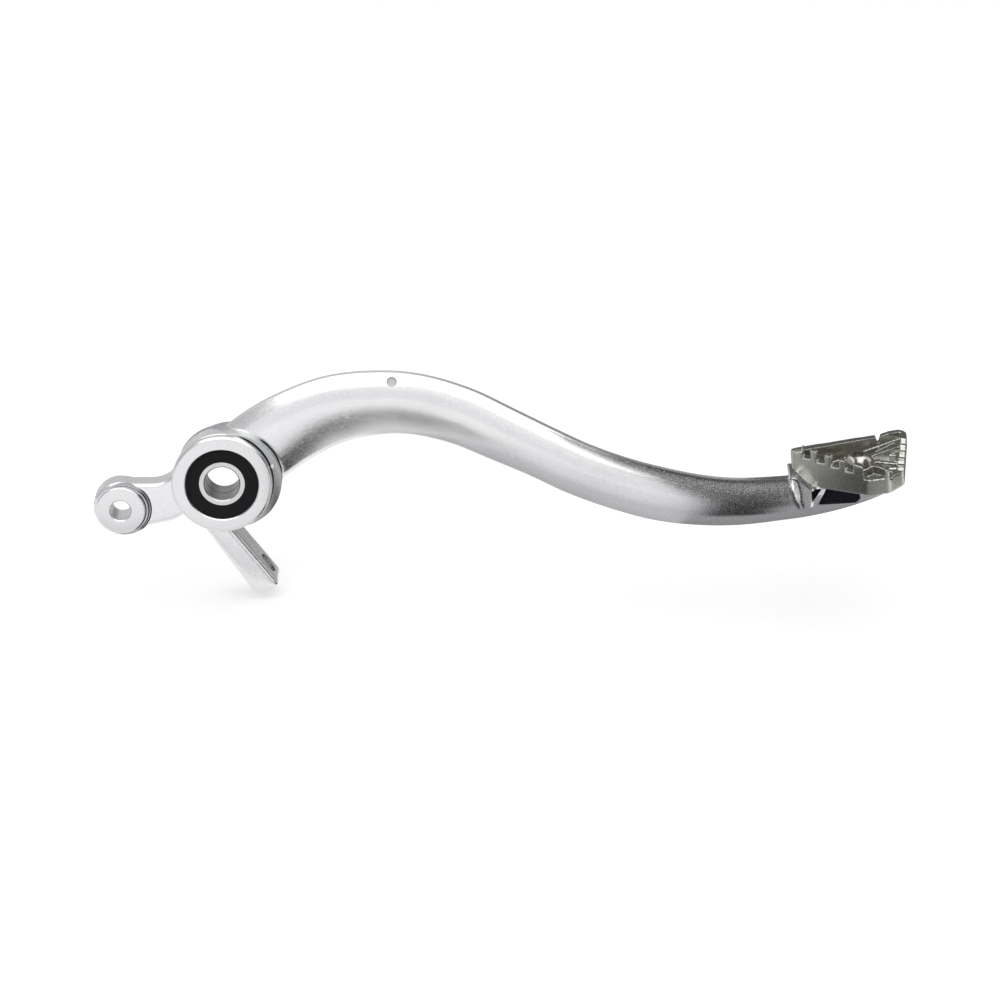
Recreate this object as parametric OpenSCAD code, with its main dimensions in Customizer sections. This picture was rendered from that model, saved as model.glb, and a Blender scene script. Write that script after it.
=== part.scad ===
// Rear brake pedal: a cast S-shaped lever on two sealed ball bearings,
// with a toothed step plate screwed to its tip.
// The pivot axis is Y and the origin lies in the middle of the bearing pair.
// +X runs to the step plate, +Z is up, and the front of the pedal is its -Y side.

/* [Bearings] */
// Bore of each ball bearing
bearing_bore = 10; // [9:0.5:11]
// Outside diameter of each bearing
bearing_od = 22; // [21.5:0.5:24]
// Width of each bearing
bearing_w = 6; // [5.5:0.5:8]
// Diameter of one ball
ball_d = 3.2; // [2.8:0.1:3.4]
// Balls in each bearing
ball_count = 11; // [7:1:11]
// Height of the ring shoulders above the deepest point of the ball track
track_depth = 0.65; // [0.4:0.05:0.8]
// Radial width of the visible land of the inner ring, beside the seal
land_w = 1.5; // [1.2:0.1:1.6]
// Thickness of each rubber seal
seal_t = 0.7; // [0.5:0.1:0.8]
// Thickness of the ball cage, measured outwards
cage_t = 0.8; // [0.5:0.1:0.9]

/* [Hub] */
// Wall of the hub round the bearing seat
hub_wall = 3.4; // [2.8:0.1:5]
// Thickness of the lip in front of the bearings
lip_t = 1; // [0.8:0.1:2]
// How far the lip reaches in over the bearing
lip_reach = 0.5; // [0.3:0.1:0.7]
// Radius on the front edge of the hub
hub_edge_r = 2; // [1:0.1:2.6]
// How much the barrel narrows towards its rear face, in radius
rear_taper = 1.4; // [0.8:0.1:1.6]
// How far the thick collar is set off towards the arm
collar_shift = 3; // [1:0.1:3.5]
// How much smaller the collar is than the barrel, in radius
collar_under = 0.1; // [0:0.1:0.5]
// Distance of the collar's front step behind the hub's front face
collar_front = 5.5; // [4:0.5:8]
// Wall behind the circlip groove, to the rear face
rear_skirt = 1.2; // [1:0.1:2]
// Thickness of the circlip
circlip_t = 1; // [0.8:0.1:1.5]
// Depth of the circlip groove
circlip_groove = 0.5; // [0.4:0.1:0.9]

/* [Lever arm] */
// Distance from the pivot to the step plate's screw
reach = 181.5; // [172:0.5:195]
// Height of the arm's centreline at its crest
crest_z = 21.2; // [16:0.2:24]
// Height of the arm's centreline at its lowest point, near the tip
low_z = -5.7; // [-10:0.1:-4]
// Sideways place of the arm behind the hub
arm_y_root = 4; // [3.5:0.1:4.5]
// Sideways place of the arm at the step plate
arm_y_tip = -5; // [-8:0.5:-2]
// Height of the arm's section where it leaves the hub
arm_h_root = 22.4; // [20:0.2:24]
// Height of the arm's section at the crest
arm_h_crest = 18.8; // [16:0.2:20]
// Height of the arm's section at mid length
arm_h_mid = 15.6; // [14:0.2:17]
// Height of the arm's section behind the step plate
arm_h_tip = 12.4; // [12:0.2:14.4]
// Depth of the arm's section at the hub
arm_d_root = 10.4; // [10:0.2:11]
// Depth of the arm's section at the tip
arm_d_tip = 11.4; // [10:0.2:12.4]
// Diameter of the round dimple on the crest
dimple_d = 3; // [2:0.1:4]
// Depth of the round dimple
dimple_depth = 0.7; // [0.4:0.1:1.2]

/* [Pushrod lug] */
// Distance of the lug's hole behind the pivot
lug_x = -29.6; // [-32:0.2:-28]
// Height of the lug's hole
lug_z = -10.2; // [-12:0.2:-9]
// Diameter of the lug's hole
lug_hole_d = 6; // [4:0.1:8]
// Outside diameter of the lug's boss
lug_boss_d = 14; // [12.6:0.2:15]
// Thickness of the boss along the hole
lug_boss_w = 9; // [8:0.2:11]
// Place of the boss's front face
lug_boss_y = -1; // [-2:0.2:0]
// How far the boss stands proud of the lug's web
lug_proud = 1.5; // [0.8:0.1:2]

/* [Stop arm] */
// Thickness of the stop arm across its slant
stop_arm_t = 6; // [5.4:0.1:6.4]
// Depth of the stop arm from front to back
stop_arm_d = 12.2; // [11:0.2:12.4]
// Place of the stop arm's front face
stop_arm_y = -4; // [-4.6:0.2:-2]
// Length of the stop arm below the pivot
stop_arm_drop = 35; // [32:0.2:37]
// Slant of the stop arm towards the step plate
stop_arm_slant = 35; // [33:1:37]
// Diameter of the hole across the stop arm
stop_hole_d = 6; // [4:0.1:7]

/* [Step plate] */
// Length of the step plate from its nose to the screw
plate_nose = 19; // [17:0.5:19]
// Length of the step plate from the screw to its front end
plate_end = 15; // [14:0.5:18]
// Reach of the step plate from the screw to the outer side
plate_out = 11.3; // [10.5:0.1:13]
// Reach of the step plate from the screw to the inner side
plate_in = 17.2; // [15:0.2:19]
// Wall of the step plate
plate_wall = 2.2; // [1.6:0.1:2.4]
// Floor of the step plate
plate_floor = 2.2; // [1.6:0.1:2.6]
// Height of the rim above the seat, at the screw
rim_h = 6.3; // [5.8:0.1:8]
// Height of the teeth above the rim
tooth_h = 2.6; // [1.5:0.1:3.5]
// Width of the gaps between the teeth
tooth_gap = 1.9; // [1.4:0.1:2.2]
// Spacing of the teeth
tooth_pitch = 3.9; // [3.6:0.1:4.2]
// Tilt of the step plate towards the outer side
plate_roll = 10; // [6:1:12]
// Slope of the seat up towards the front end
plate_pitch = 5; // [3:1:6]
// Slope of the rim down towards the front end, against the seat
rim_slope = 11; // [9:1:12]
// Height of the step plate's seat above the pivot
seat_z = 2; // [1.4:0.1:2.4]

/* [Step plate screw] */
// Thread diameter of the screw
screw_d = 5; // [4:0.5:5]
// Diameter of the screw's domed head
screw_head_d = 7.5; // [7:0.1:8.5]
// Height of the screw's head
screw_head_h = 2.8; // [2:0.1:3.2]
// Width across the flats of the screw's socket
socket_w = 3; // [2:0.5:3.5]
// Height of the screw's boss above the floor of the step plate
screw_boss_h = 2.4; // [1.4:0.1:2.6]
// Length of the screw below its head
screw_len = 10; // [8:0.5:10]

/* [Fits] */
// Clearance of a bearing in its seat, in radius
seat_gap = 0.02; // [0.01:0.01:0.05]
// Clearance of the balls in their tracks
ball_gap = 0.05; // [0.03:0.01:0.1]
// Clearance of a ball in its cage pocket
pocket_gap = 0.1; // [0.08:0.01:0.15]
// Clearance of the seal lip on the inner ring
lip_gap = 0.05; // [0.03:0.01:0.1]
// Clearance of the screw in the step plate
screw_gap = 0.25; // [0.1:0.05:0.4]

/* [Hidden] */
$fn = 96;
bore_fn = 64;

cast_colour = [0.80, 0.81, 0.82];
plate_colour = [0.55, 0.54, 0.50];
steel_colour = [0.68, 0.67, 0.64];
seal_colour = [0.09, 0.09, 0.10];
brass_colour = [0.62, 0.55, 0.36];

// Bearing sizes that follow from the ones above
bore_r = bearing_bore / 2;
outer_r = bearing_od / 2;
ball_r = ball_d / 2;
pitch_r = (bore_r + outer_r) / 2;
track_r = ball_r + ball_gap;
inner_shoulder_r = pitch_r - track_r + track_depth;
outer_shoulder_r = pitch_r + track_r - track_depth;
land_r = bore_r + land_w;
seal_seat_r = outer_r - 0.5;
seal_inset = 0.1;
ring_chamfer = 0.3;

// Hub sizes that follow from the bearings
seat_r = outer_r + seat_gap;
barrel_r = outer_r + hub_wall;
collar_r = barrel_r - collar_under;
front_y = -bearing_w - lip_t;
groove_y = bearing_w;
groove_w = circlip_t + 0.1;
rear_y = groove_y + groove_w + rear_skirt;
rim_line_y = front_y + hub_edge_r + 0.5;
collar_y = front_y + collar_front;
collar_back_y = rear_y - 0.8;
spot_face_r = 17;

// Tip sizes shared by the lever and the step plate
nose_run = 5.2;
rim_fall = tan(rim_slope);
tapped_depth = 6.2;
head_seat = plate_floor + screw_boss_h;
near_angle = -23.5;

// Height of the rim line above the seat at a place x from the screw
function rim_at(x) = rim_h - rim_fall * x;

// Turns a shape drawn round Z so that it runs along Y
module along_y() {
  rotate([-90, 0, 0]) children();
}

// Extrudes an outline drawn in X and Z from y_front backwards
module slab(y_front, depth) {
  translate([0, y_front + depth, 0]) rotate([90, 0, 0]) linear_extrude(depth) children();
}

// Points of an arc from angle a to angle b, in whole steps
function arc(cx, cy, r, a, b, steps = 6) =
  [for (i = [0:steps]) [cx + r * cos(a + (b - a) * i / steps), cy + r * sin(a + (b - a) * i / steps)]];

// Catmull-Rom curve through p1 and p2, with p0 and p3 beyond them
function curve_at(p0, p1, p2, p3, t) =
  0.5 * (2 * p1 + (p2 - p0) * t + (2 * p0 - 5 * p1 + 4 * p2 - p3) * t * t
    + (3 * p1 - p0 - 3 * p2 + p3) * t * t * t);

// The arm's stations: place along the reach, height of the centreline from its
// lowest level (0) to its crest (1), sideways place from hub (0) to tip (1),
// and how square the section is (2 is an ellipse).
arm_shape = [
  [0.02, 0.28, 0.00, 2.3],
  [0.07, 0.55, 0.00, 2.3],
  [0.12, 0.76, 0.00, 2.3],
  [0.18, 0.93, 0.00, 2.3],
  [0.25, 1.00, 0.02, 2.3],
  [0.31, 0.98, 0.08, 2.3],
  [0.375, 0.87, 0.20, 2.3],
  [0.435, 0.70, 0.35, 2.3],
  [0.50, 0.51, 0.52, 2.3],
  [0.56, 0.33, 0.67, 2.3],
  [0.625, 0.18, 0.80, 2.3],
  [0.69, 0.07, 0.90, 2.3],
  [0.755, 0.01, 0.96, 2.3],
  [0.815, 0.00, 0.99, 2.3],
  [0.88, 0.04, 1.00, 2.4],
  [0.915, 0.07, 1.00, 2.8],
  [0.95, 0.10, 1.00, 3.4],
  [0.985, 0.145, 1.00, 4.0],
  [1.015, 0.195, 1.00, 4.0],
  [1.042, 0.25, 1.00, 3.6]
];
arm_rings_per_span = 3;
arm_sides = 36;
crest_at = 0.25;
mid_at = 0.5;
tip_at = 0.88;

function blend(a, b, t) = a + (b - a) * min(1, max(0, t));

// Height of the section at a share u of the reach
function arm_h(u) =
  u < crest_at ? blend(arm_h_root, arm_h_crest, (u - 0.07) / (crest_at - 0.07))
  : u < mid_at ? blend(arm_h_crest, arm_h_mid, (u - crest_at) / (mid_at - crest_at))
  : u < 0.69 ? arm_h_mid
  : u < tip_at ? blend(arm_h_mid, arm_h_tip, (u - 0.69) / (tip_at - 0.69))
  : blend(arm_h_tip, 0.42 * arm_h_tip, (u - tip_at - 0.02) / 0.142);

function arm_d(u) = blend(arm_d_root, arm_d_tip, u);

// One station as [x, y, z, half height, half depth, squareness]
arm_rows = [
  for (s = arm_shape) [
    s[0] * reach,
    blend(arm_y_root, arm_y_tip, s[2]),
    low_z + (crest_z - low_z) * s[1],
    arm_h(s[0]) / 2,
    arm_d(s[0]) / 2,
    s[3]
  ]
];
arm_spans = len(arm_rows) - 1;

function row(i) = arm_rows[min(arm_spans, max(0, i))];

function arm_point(i, t) = curve_at(row(i - 1), row(i), row(i + 1), row(i + 2), t);

arm_path = concat(
  [for (i = [0:arm_spans - 1], k = [0:arm_rings_per_span - 1]) arm_point(i, k / arm_rings_per_span)],
  [row(arm_spans)]
);
arm_rings = len(arm_path);

function place_of(p) = [p[0], p[1], p[2]];

function direction(i) =
  let (a = place_of(arm_path[max(0, i - 1)]), b = place_of(arm_path[min(arm_rings - 1, i + 1)]))
  (b - a) / norm(b - a);

// A point of the superellipse section, squared off by the exponent n
function section_power(v, n) = sign(v) * pow(abs(v), 2 / n);

function arm_ring(i) =
  let (
    p = arm_path[i],
    along = direction(i),
    side_raw = [0, 1, 0] - along[1] * along,
    side = side_raw / norm(side_raw),
    up = cross(along, side)
  )
  [
    for (j = [0:arm_sides - 1])
      let (a = 360 * j / arm_sides)
      place_of(p) + up * p[3] * section_power(sin(a), p[5]) + side * p[4] * section_power(cos(a), p[5])
  ];

// The tapering arm and the tongue under the step plate, lofted ring by ring
module arm_loft() {
  points = [for (i = [0:arm_rings - 1]) each arm_ring(i)];
  skin = [
    for (i = [0:arm_rings - 2], j = [0:arm_sides - 1])
      let (
        a = i * arm_sides + j,
        b = i * arm_sides + (j + 1) % arm_sides,
        c = a + arm_sides,
        d = b + arm_sides
      )
      each [[a, c, b], [b, c, d]]
  ];
  first_cap = [[for (j = [0:arm_sides - 1]) j]];
  last_cap = [[for (j = [0:arm_sides - 1]) (arm_rings - 1) * arm_sides + arm_sides - 1 - j]];
  polyhedron(points, concat(skin, first_cap, last_cap));
}

// Outside of the hub: a rounded machined rim, a fine groove and a tapering
// barrel, with the eccentric collar that the arm grows out of
module hub_body() {
  rear_edge = 0.8;
  line_depth = 0.35;
  rear_r = barrel_r - rear_taper;
  barrel = concat(
    [[0, front_y]],
    arc(barrel_r - hub_edge_r, front_y + hub_edge_r, hub_edge_r, -90, 0),
    [
      [barrel_r, rim_line_y],
      [barrel_r - line_depth, rim_line_y + 0.15],
      [barrel_r - line_depth, rim_line_y + 0.45],
      [barrel_r, rim_line_y + 0.7]
    ],
    arc(rear_r - rear_edge, rear_y - rear_edge, rear_edge, 0, 90, 4),
    [[0, rear_y]]
  );
  collar_edge = 0.6;
  collar = concat(
    [[0, collar_y]],
    arc(collar_r - collar_edge, collar_y + collar_edge, collar_edge, -90, 0, 3),
    arc(collar_r - collar_edge, collar_back_y - collar_edge, collar_edge, 0, 90, 3),
    [[0, collar_back_y]]
  );
  along_y() rotate_extrude() polygon(barrel);
  translate([collar_shift, 0, 0]) along_y() rotate_extrude() polygon(collar);
}

// Bearing seat with its front lip and circlip groove, and the machined rear face
module hub_bore() {
  lip_r = outer_r - lip_reach;
  chamfer = 0.4;
  profile = [
    [0, front_y - 1],
    [lip_r + chamfer + 1, front_y - 1],
    [lip_r + chamfer, front_y],
    [lip_r, front_y + chamfer],
    [lip_r, -bearing_w],
    [seat_r, -bearing_w],
    [seat_r, groove_y],
    [seat_r + circlip_groove, groove_y],
    [seat_r + circlip_groove, groove_y + groove_w],
    [seat_r, groove_y + groove_w],
    [seat_r, rear_y - chamfer],
    [seat_r + chamfer, rear_y],
    [spot_face_r, rear_y],
    [spot_face_r, rear_y + 6],
    [0, rear_y + 6]
  ];
  along_y() rotate_extrude() polygon(profile);
}

// Web of the pushrod lug, with a hollow fillet up to the collar
module lug_web() {
  web_y = lug_boss_y + lug_proud;
  web_d = lug_boss_w - lug_proud;
  web_top = lug_z + lug_boss_d / 2 + 0.4;
  fillet_r = 8;
  fillet_x = -20.5;
  end_r = lug_boss_d / 2 + 0.9;
  web_root_x = -8;
  slab(web_y, web_d) {
    difference() {
      polygon([
        [lug_x, web_top],
        [fillet_x, web_top],
        [fillet_x + fillet_r, web_top + fillet_r],
        [web_root_x, web_top + fillet_r],
        [web_root_x, -10],
        [-14.2, -13.7],
        [lug_x - 1, lug_z - lug_boss_d / 2 - 0.35]
      ]);
      translate([fillet_x, web_top + fillet_r]) circle(fillet_r);
    }
    translate([lug_x, lug_z]) circle(end_r);
  }
}

// Boss of the pushrod lug, stepped and rounded at its front
module lug_boss() {
  r = lug_boss_d / 2;
  profile = [
    [0, 0],
    [r - 0.5, 0],
    [r - 0.1, 0.25],
    [r, 0.6],
    [r, 1],
    [r + 0.25, 1.1],
    [r + 0.3, 1.6],
    [r + 0.4, lug_boss_w - 0.6],
    [r, lug_boss_w],
    [0, lug_boss_w]
  ];
  translate([lug_x, lug_boss_y, lug_z]) along_y() rotate_extrude() polygon(profile);
  // Two turned steps that lead from the boss to the web, set off towards the hub
  step_shift = 0.9;
  steps = [
    [0, 0.7],
    [r - 0.1, 0.7],
    [r + 0.1, 0.9],
    [r + 0.1, 1.1],
    [r + 0.7, 1.2],
    [r + 0.8, 1.4],
    [r + 0.8, lug_proud + 1],
    [0, lug_proud + 1]
  ];
  translate([lug_x + step_shift, lug_boss_y, lug_z]) along_y() rotate_extrude() polygon(steps);
}

// Direction down the stop arm, and the one square to it, in X and Z
stop_along = [sin(stop_arm_slant), -cos(stop_arm_slant)];
stop_across = [cos(stop_arm_slant), sin(stop_arm_slant)];
// Place of the stop arm's middle line where it leaves the hub
stop_root = [-3.5, -12];
stop_mid_y = stop_arm_y + stop_arm_d / 2;

// A place on the stop arm, by its distance down the bar and across it
function on_stop(down, across) = stop_root + down * stop_along + across * stop_across;

stop_length = (stop_arm_drop + stop_root[1]) / cos(stop_arm_slant);
stop_hole_at = on_stop(stop_length - 6.4, 0);

// Stop arm: a slanting bar with round corners, a little wider at its end
module stop_arm() {
  corner_r = 1.2;
  half = stop_arm_t / 2 - corner_r;
  flare = 1.5;
  corners = [
    on_stop(-3, -half),
    on_stop(-3, half),
    on_stop(stop_length - 4.4, -half),
    on_stop(stop_length - 2.5, 0),
    on_stop(stop_length - 1.7, half + flare)
  ];
  slab(stop_arm_y, stop_arm_d) hull() for (c = corners) translate(c) circle(corner_r, $fn = 32);
}

// Hole straight through the stop arm
module stop_hole() {
  translate([stop_hole_at[0], stop_mid_y, stop_hole_at[1]]) rotate([0, 90 - stop_arm_slant, 0])
    cylinder(30, d = stop_hole_d, center = true, $fn = bore_fn);
}

// Shoulder that closes the end of the arm and backs the step plate's nose
module tip_shoulder() {
  nose_x = reach - plate_nose;
  width = arm_d_tip + 1.2;
  slab(arm_y_tip - width / 2, width) polygon([
    [nose_x - 1.7, seat_z + 1.2],
    [nose_x - 1.2, seat_z + 2],
    [nose_x + nose_run + 1, seat_z + 1],
    [nose_x + nose_run - 0.2, seat_z - 7.4],
    [nose_x + 3, seat_z - 8.2],
    [nose_x + 1.8, seat_z - 5.4],
    [nose_x + 0.4, seat_z + 0.6]
  ]);
}

// Places a shape on the tilted seat, with its origin under the screw
module on_seat() {
  translate([reach, arm_y_tip, seat_z]) rotate([plate_roll, 0, 0]) rotate([0, -plate_pitch, 0]) children();
}

// Two hollows in each side of the tongue, with a slanting rib between them
module tongue_pockets() {
  pocket_depth = 3;
  x0 = reach - plate_nose + nose_run;
  for (side = [-1, 1]) {
    y0 = side < 0 ? arm_y_tip - 12 : arm_y_tip + arm_d_tip / 2 - pocket_depth;
    slab(y0, 12 - arm_d_tip / 2 + pocket_depth) {
      polygon([
        [x0 + 0.3, seat_z - 1.9],
        [x0 + 3.1, seat_z - 1.8],
        [x0 + 0.7, seat_z - 5.4]
      ]);
      polygon([
        [x0 + 2.4, seat_z - 6.2],
        [reach - 1.2, seat_z - 5.6],
        [reach - 0.2, seat_z - 4.6],
        [reach - 0.6, seat_z - 2],
        [x0 + 4.8, seat_z - 2.2]
      ]);
    }
  }
}

// The cast lever with all its machined holes
module lever() {
  color(cast_colour) difference() {
    union() {
      hub_body();
      lug_web();
      lug_boss();
      stop_arm();
      difference() {
        union() {
          arm_loft();
          tip_shoulder();
        }
        on_seat() seat_space();
        tongue_pockets();
      }
    }
    hub_bore();
    translate([lug_x, lug_boss_y - 1, lug_z]) along_y() cylinder(lug_boss_w + 2, d = lug_hole_d, $fn = bore_fn);
    stop_hole();
    on_seat() translate([0, 0, -tapped_depth]) cylinder(tapped_depth + 1, r = screw_d / 2 + seat_gap, $fn = bore_fn);
    crest_dimple();
  }
}

// Small round dimple in the upper front of the crest, square to the surface
module crest_dimple() {
  along = 0.267;
  forward = 0.74;
  upward = 0.8;
  tilt = 54;
  y = arm_y_root - forward * arm_d_root / 2;
  z = crest_z + upward * arm_h_crest / 2;
  translate([along * reach, y, z]) rotate([tilt, 0, 0])
    translate([0, 0, -dimple_depth]) cylinder(3, d = dimple_d, $fn = bore_fn);
}

// Everything above the seat that the step plate takes up, nose slope included
module seat_space() {
  far = 20;
  rotate([90, 0, 0]) translate([0, 0, -far]) linear_extrude(2 * far) polygon([
    [nose_run - plate_nose, 0],
    [far, 0],
    [far, far],
    [nose_run - plate_nose - far, far]
  ]);
}

// Outline of the step plate, drawn in by inset
module plate_outline(inset) {
  rounds = [
    [-plate_nose + 2.7, 0, 2.7],
    [3, -plate_out + 4.3, 4.3],
    [6.8, -plate_out + 3.5, 3.1],
    [plate_end - 5.4, -plate_out + 6, 3],
    [plate_end - 2.2, plate_in - 2, 2]
  ];
  hull() for (c = rounds) translate([c[0], c[1]]) circle(max(0.4, c[2] - inset), $fn = 32);
}

// Side view of the plate up to a height above the rim line
module plate_side(extra) {
  left = -plate_nose - 1;
  right = plate_end + 1;
  rotate([90, 0, 0]) translate([0, 0, -40]) linear_extrude(80) polygon([
    [nose_run - plate_nose, 0],
    [right, 0],
    [right, rim_at(right) + extra],
    [left + 3.2, rim_at(left) + extra],
    [left + 1.6, rim_at(left) + extra - 1],
    [left, rim_at(left) - 0.6],
    [left, nose_run + 1]
  ]);
}

// Walls and floor of the step plate before the teeth are cut
module plate_shell() {
  difference() {
    intersection() {
      linear_extrude(30) plate_outline(0);
      plate_side(tooth_h);
    }
    translate([0, 0, plate_floor]) linear_extrude(30) plate_outline(plate_wall);
    mud_windows();
  }
}

// Openings in the floor that let mud fall through
module mud_windows() {
  translate([0, 0, -1]) linear_extrude(plate_floor + 2) {
    polygon([[6.2, -1.2], [11.2, -1.2], [11.2, -4.2], [6.2, -4.6]]);
    polygon([[6.2, 1.2], [11.2, 1.2], [11.2, 6.4], [6.2, 6.4]]);
    polygon([[4.4, 8.2], [11.2, 8.2], [11.2, 13.6]]);
  }
}

// Gaps that leave the teeth standing on the outer wall
module outer_gaps() {
  wall_slope = -tan(near_angle);
  first_gap = 4.1;
  for (i = [0:3]) {
    x = first_gap - plate_nose + i * tooth_pitch;
    y = -plate_out + 8.2 - (x + plate_nose - first_gap) * wall_slope;
    translate([x, y, rim_at(x)]) rotate([0, 0, near_angle])
      translate([-tooth_gap / 2, -5, 0]) cube([tooth_gap, 8, 12]);
  }
  translate([0.9, -plate_out - 3, rim_at(6.5)]) cube([6, 7.4, 12]);
  translate([8.2, -plate_out - 3, rim_at(9)]) cube([0.9, 8, 12]);
}

// The front wall is lower, with vee gaps across it
module front_gaps() {
  front_x = 9.1;
  end_x = plate_end + 2;
  top = 0.5;
  rotate([90, 0, 0]) translate([0, 0, -40]) linear_extrude(80) polygon([
    [front_x, rim_at(front_x) + top],
    [end_x, rim_at(end_x) + top],
    [end_x, 20],
    [front_x, 20]
  ]);
  for (y = [-plate_out + 6.5:tooth_pitch:plate_in - 3])
    translate([plate_end - 6, y, rim_at(plate_end) - 0.6]) rotate([45, 0, 0]) cube([10, 2, 2]);
}

// The inner wall is low and plain up to the corner, where it ends in a vee
module inner_cut() {
  start = -plate_nose - 2;
  rise_x = 9.4;
  rotate([90, 0, 0]) translate([0, 0, -40]) linear_extrude(40) polygon([
    [start, rim_at(start)],
    [5.6, rim_at(5.6)],
    [6.4, rim_h - 4],
    [7.2, rim_at(7.2)],
    [rise_x, rim_at(rise_x) + 0.4],
    [rise_x, rim_h + 12],
    [start, rim_h + 12]
  ]);
}

// Raised ribs from the screw boss to the front wall
module plate_ribs() {
  rib_t = 1.4;
  rib_h = rim_h - 1.6;
  intersection() {
    linear_extrude(30) plate_outline(0.5);
    plate_side(-0.8);
    linear_extrude(rib_h) {
      translate([3, -rib_t / 2]) square([plate_end, rib_t]);
      rotate(40) translate([4, -rib_t / 2]) square([plate_end + 4, rib_t]);
      rotate(-28) translate([4, -rib_t / 2]) square([plate_end, rib_t]);
    }
  }
}

// Cast step plate: dished, toothed, with a boss for the screw
module step_plate() {
  color(plate_colour) on_seat() difference() {
    union() {
      difference() {
        plate_shell();
        outer_gaps();
        front_gaps();
        inner_cut();
      }
      plate_ribs();
      cylinder(head_seat, r = screw_head_d / 2 + 1, $fn = bore_fn);
    }
    translate([0, 0, head_seat]) cylinder(10, r = screw_head_d / 2 + 1.2, $fn = bore_fn);
    translate([0, 0, -1]) cylinder(20, r = screw_d / 2 + screw_gap, $fn = bore_fn);
  }
}

// Domed socket screw that holds the step plate to the tongue
module step_plate_screw() {
  head_r = screw_head_d / 2;
  dome = 1.6;
  profile = concat(
    [[0, 0], [head_r, 0]],
    [for (i = [0:6]) [head_r * cos(i * 9), screw_head_h - dome + dome * sin(i * 15)]],
    [[0, screw_head_h]]
  );
  color(steel_colour) on_seat() translate([0, 0, head_seat]) {
    difference() {
      union() {
        rotate_extrude($fn = bore_fn) polygon(profile);
        translate([0, 0, -screw_len]) cylinder(screw_len, r = screw_d / 2, $fn = bore_fn);
        translate([0, 0, -screw_len - 0.4]) cylinder(0.4, r1 = screw_d / 2 - 0.4, r2 = screw_d / 2, $fn = bore_fn);
      }
      translate([0, 0, screw_head_h - 2]) cylinder(4, r = socket_w / sqrt(3), $fn = 6);
    }
  }
}

// Internal circlip behind the rear bearing, open between its two eyes
module bearing_circlip() {
  clip_r = seat_r + circlip_groove - 0.05;
  band = 1.5;
  eye_r = 1.7;
  eye_turn = 13;
  slab_y = groove_y + 0.05;
  color(steel_colour) slab(slab_y, circlip_t) {
    difference() {
      union() {
        difference() {
          circle(clip_r);
          circle(clip_r - band);
          polygon([[0, 0], [30 * sin(-eye_turn), -30], [30 * sin(eye_turn), -30]]);
        }
        for (s = [-1, 1]) rotate(s * (eye_turn + 6)) translate([0, -clip_r + eye_r]) circle(eye_r);
      }
      for (s = [-1, 1]) rotate(s * (eye_turn + 6)) translate([0, -clip_r + eye_r]) circle(0.8, $fn = 32);
    }
  }
}

// Inner ring: ball track in the middle, a lower land beside each seal
module inner_ring() {
  half = bearing_w / 2;
  step = half - seal_t - seal_inset - 0.1;
  rotate_extrude() difference() {
    polygon([
      [bore_r, -half + ring_chamfer],
      [bore_r + ring_chamfer, -half],
      [land_r, -half],
      [land_r, -step],
      [inner_shoulder_r, -step],
      [inner_shoulder_r, step],
      [land_r, step],
      [land_r, half],
      [bore_r + ring_chamfer, half],
      [bore_r, half - ring_chamfer]
    ]);
    translate([pitch_r, 0]) circle(track_r, $fn = 48);
  }
}

// Outer ring: ball track in the middle, a seat for a seal at each side
module outer_ring() {
  half = bearing_w / 2;
  step = half - seal_t - seal_inset;
  rotate_extrude() difference() {
    polygon([
      [seal_seat_r, -half],
      [outer_r - ring_chamfer, -half],
      [outer_r, -half + ring_chamfer],
      [outer_r, half - ring_chamfer],
      [outer_r - ring_chamfer, half],
      [seal_seat_r, half],
      [seal_seat_r, step],
      [outer_shoulder_r, step],
      [outer_shoulder_r, -step],
      [seal_seat_r, -step]
    ]);
    translate([pitch_r, 0]) circle(track_r, $fn = 48);
  }
}

// Cage: a thin ring with one round pocket for each ball
module cage() {
  half = ball_r + 0.5;
  difference() {
    rotate_extrude() translate([pitch_r - cage_t / 2, -half]) square([cage_t, 2 * half]);
    for (i = [0:ball_count - 1]) rotate(i * 360 / ball_count) rotate([0, 90, 0])
      translate([0, 0, pitch_r - cage_t]) cylinder(2 * cage_t, r = ball_r + pocket_gap, $fn = 48);
  }
}

module balls() {
  for (i = [0:ball_count - 1]) rotate(i * 360 / ball_count) translate([pitch_r, 0, 0]) sphere(ball_r, $fn = 48);
}

// Rubber seal with a shallow ring pressed into its outer face
module seal() {
  inner = land_r + lip_gap;
  outer = seal_seat_r - seat_gap;
  mid = (inner + outer) / 2;
  rotate_extrude() polygon([
    [inner, 0],
    [outer, 0],
    [outer, seal_t],
    [mid + 1, seal_t],
    [mid + 0.8, seal_t - 0.12],
    [mid - 0.8, seal_t - 0.12],
    [mid - 1, seal_t],
    [inner, seal_t]
  ]);
}

// Puts a bearing part at the middle of the front (-1) or rear (1) bearing
module in_bearing(side) {
  translate([0, side * bearing_w / 2, 0]) along_y() children();
}

// Puts a seal in the face of a bearing that looks to the front (-1) or rear (1)
module in_face(side, face) {
  base = bearing_w / 2 - seal_inset - seal_t;
  in_bearing(side) scale_face(face) translate([0, 0, base]) children();
}

module scale_face(face) {
  if (face > 0) children();
  else mirror([0, 0, 1]) children();
}

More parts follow.
